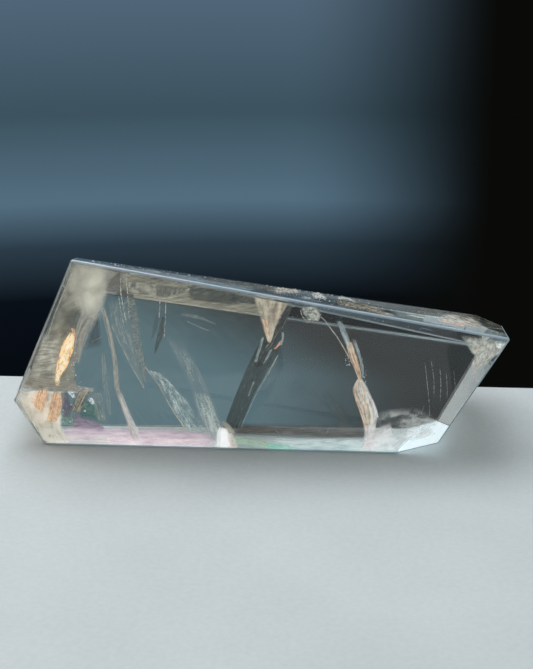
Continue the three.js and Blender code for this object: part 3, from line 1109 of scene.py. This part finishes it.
# ---------------------------------------------------------------------------------------------
# Colours over the base: thin films, perhaps of air, in flat cracks just inside the ground face.
# They are pink with violet and teal at the left, then green, mint and pale blue along the front,
# and white at the right, where a dark brown sheet over the foot is painted shade.

base = flats["base"]


def film_look(name, tones, cover, torn=0.25, lean=0.0):
    return break_look(name, tones, cover, 0.5, 260, (4, 4), torn, edge=0.9, end=0.5, lean=lean, solid=0.5)


film("pink_film", base, 0.4, (
    (3.6, 5.3), (13.4, 5.1), (22.3, 5.1), (31.7, 5), (40.2, 4),
), (
    (0.8, 0.3), (13.4, 0.2), (22.3, 0.1), (31.7, 0.1), (40, 0.1),
), film_look("pink_film", [
    (0.15, (176, 146, 170)), (0.4, (208, 182, 198)), (0.6, (230, 218, 222)), (0.85, (246, 245, 240)),
], 0.9, lean=0.5), rows=60, columns=12)
film("pink_streaks", base, 0.7, (
    (14, 2.9), (22, 2.9), (31, 2.8), (40, 2.7),
), (
    (14, 0.5), (22, 0.5), (31, 0.4), (40, 0.4),
), film_look("pink_streaks", [
    (0.2, (216, 184, 200)), (0.8, (244, 232, 236)),
], 0.6, 0.5))
film("teal_film", base, 0.9, (
    (9, 8.8), (11, 8.8), (14.4, 8.2),
), (
    (9, 6), (11, 6), (14.4, 5.8),
), film_look("teal_film", [
    (0.1, (44, 74, 72)), (0.5, (62, 102, 94)), (0.9, (96, 140, 126)),
], 0.8, 0.34))
film("teal_film_left", base, 0.9, (
    (3.4, 7.3), (5.4, 7.3), (7.6, 7.3),
), (
    (3.6, 4.9), (5.4, 4.9), (7.6, 4.9),
), film_look("teal_film_left", [
    (0.1, (84, 116, 106)), (0.9, (128, 158, 146)),
], 0.8, 0.34))
film("violet_film", base, 0.8, (
    (7, 7), (10, 6.8), (14.2, 5.8),
), (
    (7, 4.4), (10, 4.4), (14.6, 4),
), film_look("violet_film", [
    (0.1, (112, 92, 114)), (0.5, (144, 120, 142)), (0.9, (174, 152, 168)),
], 0.8, 0.34))
film("green_film", base, 0.4, (
    (42.2, 3.6), (46, 3.4), (49.8, 2.5), (52.4, 1.9),
), (
    (42.6, 1.6), (46, 1.6), (49.8, 1.2), (52.4, 0.9),
), film_look("green_film", [
    (0.1, (146, 174, 146)), (0.9, (190, 210, 192)),
], 0.85))
film("mint_film", base, 0.5, (
    (51, 2), (53.7, 2), (55.6, 1.6), (57.8, 1.1),
), (
    (51.4, -0.1), (53.7, -0.1), (55.6, 0), (57.6, 0),
), film_look("mint_film", [
    (0.1, (110, 186, 158)), (0.9, (164, 220, 204)),
], 0.9))
film("pale_blue_film", base, 0.4, (
    (57, 1.2), (60, 0.9), (63.8, 0.6),
), (
    (57, 0), (60, 0), (63.8, 0),
), film_look("pale_blue_film", [
    (0.1, (150, 182, 206)), (0.9, (200, 218, 232)),
], 0.5, 0.35))
# This dark sheet is painted shade; it covers a pale strip along the foot and hides all behind it.
film("foot_shade_film", base, 0.5, (
    (41, 6.6), (54, 6.7), (66, 6.8), (77, 6.8),
), (
    (41, 3.8), (54, 3.6), (66, 3.4), (77, 3.4),
), film_look("foot_shade_film", [
    (0.1, (34, 31, 28)), (0.5, (58, 55, 51)), (0.9, (104, 104, 100)),
], 1.0, 0.2))
film("white_film", base, 0.5, (
    (52, 3.2), (62, 3.6), (72, 4.2), (82, 4),
), (
    (52, 0), (62, 0), (72, 0), (82, 0),
), film_look("white_film", [
    (0.2, (182, 200, 202)), (0.8, (226, 236, 236)),
], 0.6))

# ---------------------------------------------------------------------------------------------
# Wear on the polished faces: small chips and bruises on the top, and dark patches of painted shade,
# laid a hair over the polish, and hair scratches on the window, most of them at its right, laid just
# under it.

TOP_LIFT = 0.03
SCRATCH_DEPTH = 0.12


def on_top(*spots):
    """Points on the top: millimetres told along the window's foot, and a share of the way back."""
    points = []
    for x, share in spots:
        along = (x - TOP_FROM) / (TOP_TO - TOP_FROM)
        near = top_left.lerp(top_right, along)
        far = back_top_left.lerp(back_top_right, along)
        points.append(near.lerp(far, share))
    return points


def laid_on_top(point):
    """The point moved to a hair over the nearer flat of the top."""
    skin = max((flats["top_front"], flats["top_back"]), key=lambda flat: flat.out.dot(point) - flat.reach)
    return point - skin.out * (skin.out.dot(point) - skin.reach - TOP_LIFT)


def top_mark(name, front, back, material):
    return veil(name, (on_top(*back), on_top(*front)), material, 0.1, seat=laid_on_top)


def on_window(*spots):
    return [on_front(x, z) + INWARD * SCRATCH_DEPTH for x, z in spots]


# The dark brown patches laid over the top are painted shade.
top_shade = break_look("top_shade_brown", [
    (0.1, (36, 37, 35)), (0.5, (62, 61, 56)), (0.85, (106, 101, 91)),
], cover=0.65, grain=1300, drawn=(2, 40), torn=0.45, edge=0.8, end=0.6, solid=0.4)
gold_grain = break_look("gold_grain", [
    (0.2, (58, 55, 48)), (0.5, (108, 102, 90)), (0.7, (168, 160, 142)), (0.9, (224, 217, 198)),
], grain=2400, drawn=(4, 14), torn=0.48, edge=0.9, end=0.7, solid=0.2)
warm_streak = break_look("warm_streak", [
    (0.2, (148, 96, 66)), (0.8, (206, 146, 110)),
], cover=0.7, drawn=(2, 2), torn=0.36, end=0.8, solid=0.5)
smear = break_look("beige_smear", [
    (0.2, (126, 120, 112)), (0.8, (192, 184, 174)),
], cover=0.75, drawn=(3, 8), torn=0.4, end=0.9, solid=0.4)
chip_bright = break_look("bruise_bright", [
    (0.1, (112, 114, 110)), (0.5, (164, 165, 160)), (0.9, (232, 232, 228)),
], grain=1700, drawn=(5, 9), torn=0.48, end=0.9, solid=0.2)
slate = break_look("slate_bruise", [
    (0.1, (44, 58, 70)), (0.9, (86, 102, 114)),
], cover=0.6, drawn=(3, 9), torn=0.4, end=0.9)
# Painted shade over the left part of the top.
top_mark("top_shade_left", (
    (36, 0.12), (44.7, 0.06), (50.5, 0.06), (54, 0.06),
), (
    (36, 0.85), (44.7, 0.95), (50.5, 0.9), (54, 0.8),
), top_shade)
top_mark("top_smear_left", (
    (53.2, 0.06), (56, 0.2), (59.6, 0.3),
), (
    (53.6, 0.5), (57, 0.8), (61, 0.9),
), smear)
top_mark("top_slate", ((57, 0), (60, 0.04), (63, 0.1)), ((57.6, 0.36), (60, 0.42), (63, 0.5)), slate)
top_mark("top_chip_wide", (
    (61.8, 0.16), (63.6, 0.24), (65.6, 0.3),
), (
    (62.2, 0.5), (63.8, 0.7), (65.8, 0.5),
), chip_bright)
top_mark("top_chip_small", (
    (59.4, 0.1), (60.6, 0.12), (61.8, 0.16),
), (
    (59.4, 0.24), (60.6, 0.28), (61.8, 0.26),
), chip_bright)
top_mark("top_chip_arch", (
    (68.2, 0.4), (70.2, 0.5), (73, 0.38),
), (
    (68.2, 0.54), (70.4, 0.66), (73.2, 0.48),
), chip_bright)
top_mark("top_chip_lens", (
    (83.2, 0.2), (85.4, 0.2), (87.4, 0.22),
), (
    (83.2, 0.3), (85.4, 0.32), (87.4, 0.3),
), chip_bright)
top_mark("top_gold_shade", (
    (66.8, 0.02), (72, 0.04), (78.6, 0.12),
), (
    (67.6, 0.46), (72, 0.5), (78.6, 0.5),
), top_shade)
top_mark("top_gold_grain", (
    (67.2, 0.04), (72, 0.08), (78, 0.16),
), (
    (67.6, 0.42), (72, 0.46), (78, 0.4),
), gold_grain)
top_mark("top_line", (
    (74.1, 0.31), (82, 0.33), (89.1, 0.38), (95, 0.39),
), (
    (74.1, 0.37), (82, 0.39), (89.1, 0.44), (95, 0.45),
), silver)
top_mark("top_smear_right", (
    (90, 0.1), (94, 0.14), (102, 0.2),
), (
    (91, 0.46), (95, 0.8), (102, 0.9),
), smear)
# Painted shade at the right of the top.
top_mark("top_shade_right", (
    (84, 0.48), (89, 0.5), (94, 0.5),
), (
    (84, 0.62), (89, 0.7), (94, 0.66),
), top_shade)
top_mark("top_orange_streak", (
    (90.6, 0.26), (93, 0.2), (96, 0.14),
), (
    (90.6, 0.36), (93, 0.33), (96, 0.26),
), warm_streak)
top_mark("top_curl", (
    (24.6, 0.3), (26.4, 0.16), (28.6, 0.14),
), (
    (24.6, 0.38), (26.4, 0.26), (28.6, 0.24),
), chip_bright)
specks("top_specks", (
    on_top((12, 0.75), (30, 0.7), (60, 0.8), (98, 0.6)),
    on_top((12, 0.1), (30, 0.1), (60, 0.1), (98, 0.1)),
), 170, 0.14, speck, 33, laid_on_top)
specks("top_specks_dense", (
    on_top((52, 0.8), (62, 0.9), (70, 0.7), (79, 0.6)),
    on_top((52, 0.1), (62, 0.1), (70, 0.1), (79, 0.1)),
), 150, 0.17, speck, 35, laid_on_top)

scratch = break_look("hair_scratch", [
    (0.1, (130, 136, 132)), (0.9, (206, 208, 202)),
], cover=0.7, glow=0.6, grain=1500, drawn=(1, 12), torn=0.48, edge=0.8, end=0.6, solid=0.15)


def hair(name, width, *spots):
    left = on_window(*[(x - width / 2, z) for x, z in spots])
    right = on_window(*[(x + width / 2, z) for x, z in spots])
    return veil(name, (left, right), scratch, 0.02, rows=24, columns=2)


hair("scratch_long", 0.12, (86.1, 23), (86.7, 18.4), (87.4, 13), (87.8, 7.5))
hair("scratch_beside", 0.1, (87.4, 23.5), (88.2, 18.7), (88.4, 13.8))
hair("scratch_right", 0.13, (89.4, 21.6), (89.8, 17.5), (89.8, 13.3))
hair("scratch_far_right", 0.1, (90.8, 20.7), (91.2, 17), (91.3, 13.8))
hair("scratch_end", 0.09, (92.4, 21.4), (92.9, 17.6), (93.2, 14.6))
hair("scratch_short", 0.1, (86.4, 12.6), (85.6, 9.6), (84.6, 7))
hair("scratch_low_a", 0.14, (52.7, 5.7), (54.3, 4), (55.9, 2.5))
hair("scratch_low_b", 0.14, (65.5, 6.1), (64.4, 4.3), (63.3, 2.7))
hair("scratch_low_c", 0.14, (63.5, 6), (63.2, 5.5), (62.9, 5))
hair("scratch_low_d", 0.12, (56.2, 5.2), (54.6, 4.1), (53.4, 2.9))
hair("scratch_high", 0.12, (98.6, 24.4), (99.8, 23.3), (101.2, 22.4))
hair("scratch_low", 0.1, (88.4, 9.4), (87.8, 7.4), (87.4, 5.6))

# ---------------------------------------------------------------------------------------------
# The right corner: a cloud of tiny cracks that runs in from the point, as a knock would leave it.
# There is an orange glint in it, a blush under it, and a blue glint away to its left.

corner_white = break_look("knocked_corner", [
    (0.2, (158, 159, 150)), (0.5, (186, 187, 178)), (0.9, (216, 217, 208)),
], cover=0.95, drawn=(4, 9), torn=0.38, edge=0.8, end=0.6, solid=0.75)
crack("corner_cloud", (
    (93, 30, 1.5), (98, 29.4, 1.5), (102, 28.8, 1), (104.2, 28.4, 0.3),
), (
    (96, 25.2, 3), (98.6, 23.6, 3), (100.4, 23.8, 2), (102.8, 26, 0.4),
), corner_white, 0.1)
crack("corner_cloud_low", (
    (97.2, 26.6, 2), (99.6, 26.4, 2), (102.8, 26.8, 0.6),
), (
    (95.8, 22, 3), (97.8, 21.6, 3), (99.2, 22, 2),
), corner_white, 0.1)
crack("corner_spot", (
    (101.2, 27.8, 0.6), (101.9, 27.9, 0.6), (102.7, 27.7, 0.5),
), (
    (101.3, 26.8, 0.6), (101.9, 26.7, 0.6), (102.4, 26.9, 0.5),
), chip_white_inner, 0.02)
streak("corner_glint", 0.5, 0.5, ((97, 26.9, 2), (97.7, 26.4, 2), (98.4, 26.2, 2)), ember, 0.02)
streak("corner_blush", 1.1, 1, (
    (97.6, 23.4, 2), (97, 21.6, 2), (96.4, 19.8, 2),
), break_look("corner_blush", [
    (0.2, (186, 158, 136)), (0.8, (206, 180, 160)),
], cover=0.45, torn=0.3, end=1.0, solid=0.8), 0.02)
streak("blue_glint", 0.8, 0.5, (
    (84.6, 31.3, 1.5), (86.2, 30.9, 1.5), (87.8, 30.4, 1.5),
), break_look("blue_glint", [
    (0.2, (64, 84, 112)), (0.8, (108, 134, 166)),
], cover=0.7, torn=0.4, end=1.0), 0.02)

# ---------------------------------------------------------------------------------------------
# The floor: a pale matt board with an eased edge, on which the stone lies. It ends close behind
# the stone, so the clear window looks over it to the backdrop.

BOARD = (-0.7, 0.7, -0.7, 0.027)                  # left, right, front and back, in metres
BOARD_THICK = 0.018
BOARD_EASE = 0.003
EASE_STEPS = 6
STONE_GAP = 0.0002                                # keeps the board clear of the stone's base

shaped = bmesh.new()
left_side, right_side, front_side, back_side = BOARD
rings = []
for step in range(EASE_STEPS + 1):
    turn = math.pi / 2 * step / EASE_STEPS
    inset = BOARD_EASE * (1 - math.sin(turn))
    drop = BOARD_EASE * (1 - math.cos(turn))
    rings.append((inset, -STONE_GAP - drop))
rings.append((0, -BOARD_THICK))
loops = []
for inset, height in rings:
    corners = [(left_side + inset, front_side + inset), (right_side - inset, front_side + inset),
               (right_side - inset, back_side - inset), (left_side + inset, back_side - inset)]
    loops.append([shaped.verts.new((x, y, height)) for x, y in corners])
shaped.faces.new(loops[0])
for upper, lower in zip(loops, loops[1:]):
    for k in range(4):
        shaped.faces.new((upper[k], lower[k], lower[(k + 1) % 4], upper[(k + 1) % 4]))
floor_look = bpy.data.materials.new("pale_board")
graph = Graph(floor_look)
spot = graph.add("ShaderNodeTexCoord")["Object"]
grit = graph.noise(spot, scale=900, detail=3)
tone = graph.add("ShaderNodeValToRGB", {
    "stops": [(0.3, (196, 198, 198)), (0.7, (208, 210, 209))],
}, {"Fac": grit * 0.5 + graph.noise(spot, scale=30, detail=2) * 0.5})["Color"]
roughness = grit * 0.2 + 0.55
dents = graph.add("ShaderNodeBump", {}, {"Height": grit, "Strength": 0.3, "Distance": 0.0001})["Normal"]
surface = graph.add("ShaderNodeBsdfPrincipled", {}, {
    "Base Color": tone,
    "Roughness": roughness,
    "Normal": dents,
})["BSDF"]
graph.add("ShaderNodeOutputMaterial", {}, {"Surface": surface})
new_piece("board", mesh_of("board", shaped), floor_look)

# ---------------------------------------------------------------------------------------------
# The light: a large soft box over the stone and a little behind it, a smaller one low at the left,
# and a slate backdrop that is lightest high up and falls to near black below and at the right.


def soft_box(name, place, aim, size, power, colour):
    lamp = bpy.data.lights.new(name, "AREA")
    lamp.shape = "RECTANGLE"
    lamp.size, lamp.size_y = size
    lamp.energy = power
    lamp.color = colour
    box = bpy.data.objects.new(name, lamp)
    box.location = place
    box.rotation_euler = (Vector(aim) - Vector(place)).to_track_quat("-Z", "Y").to_euler()
    bpy.context.collection.objects.link(box)


soft_box("soft_box_above", (-0.1, 0.15, 0.7), (0, 0, 0), (0.6, 0.5), 4, (0.86, 0.94, 1))
soft_box("soft_box_left", (-0.6, 0.1, 0.3), (0, 0, 0.02), (0.3, 0.4), 1.2, (1, 0.95, 0.9))

world = bpy.data.worlds.new("backdrop")
bpy.context.scene.world = world
graph = Graph(world)
looking = graph.add("ShaderNodeTexCoord")["Generated"]
parts = graph.add("ShaderNodeSeparateXYZ", {}, {"Vector": looking})
LOWEST = -0.42                                    # the bands begin at this sine of elevation


def at(elevation, colour):
    """A stop of the backdrop's ramp: degrees above the horizon, and a colour."""
    return (math.sin(math.radians(elevation)) - LOWEST) / (1 - LOWEST), colour


bands = graph.add("ShaderNodeValToRGB", {"stops": [
    at(-24, (3, 5, 9)), at(-18, (10, 16, 24)), at(-16, (44, 60, 72)),
    at(-14.3, (84, 110, 128)), at(-11, (60, 82, 94)), at(-7, (80, 101, 119)),
    at(-2, (86, 114, 123)), at(4, (78, 106, 114)), at(14, (70, 82, 86)),
    at(26, (104, 110, 108)), at(34, (170, 174, 168)), at(48, (190, 198, 200)),
    at(75, (140, 150, 158)),
]}, {"Fac": (parts["Z"] - LOWEST) / (1 - LOWEST)})["Color"]
# From 0 at the left to 1 at the right; the change lies further left above the horizon.
rightward = (parts["X"] / parts["Y"].most(0.2) + parts["Z"].most(0) * 2).step(low=-0.05, high=0.09)
high_up = parts["Z"].step(low=0.1, high=0.4)
dimmed = graph.add("ShaderNodeMix", {"data_type": "RGBA"}, {
    "Factor": rightward * (1 - high_up),
    "A": bands,
    "B": shade(10, 11, 9),
})["Result"]
shown = graph.add("ShaderNodeBackground", {}, {"Color": dimmed})["Background"]
graph.add("ShaderNodeOutputWorld", {}, {"Surface": shown})
bpy.context.scene.view_settings.view_transform = "Standard"
bpy.context.scene.cycles.transparent_max_bounces = 24
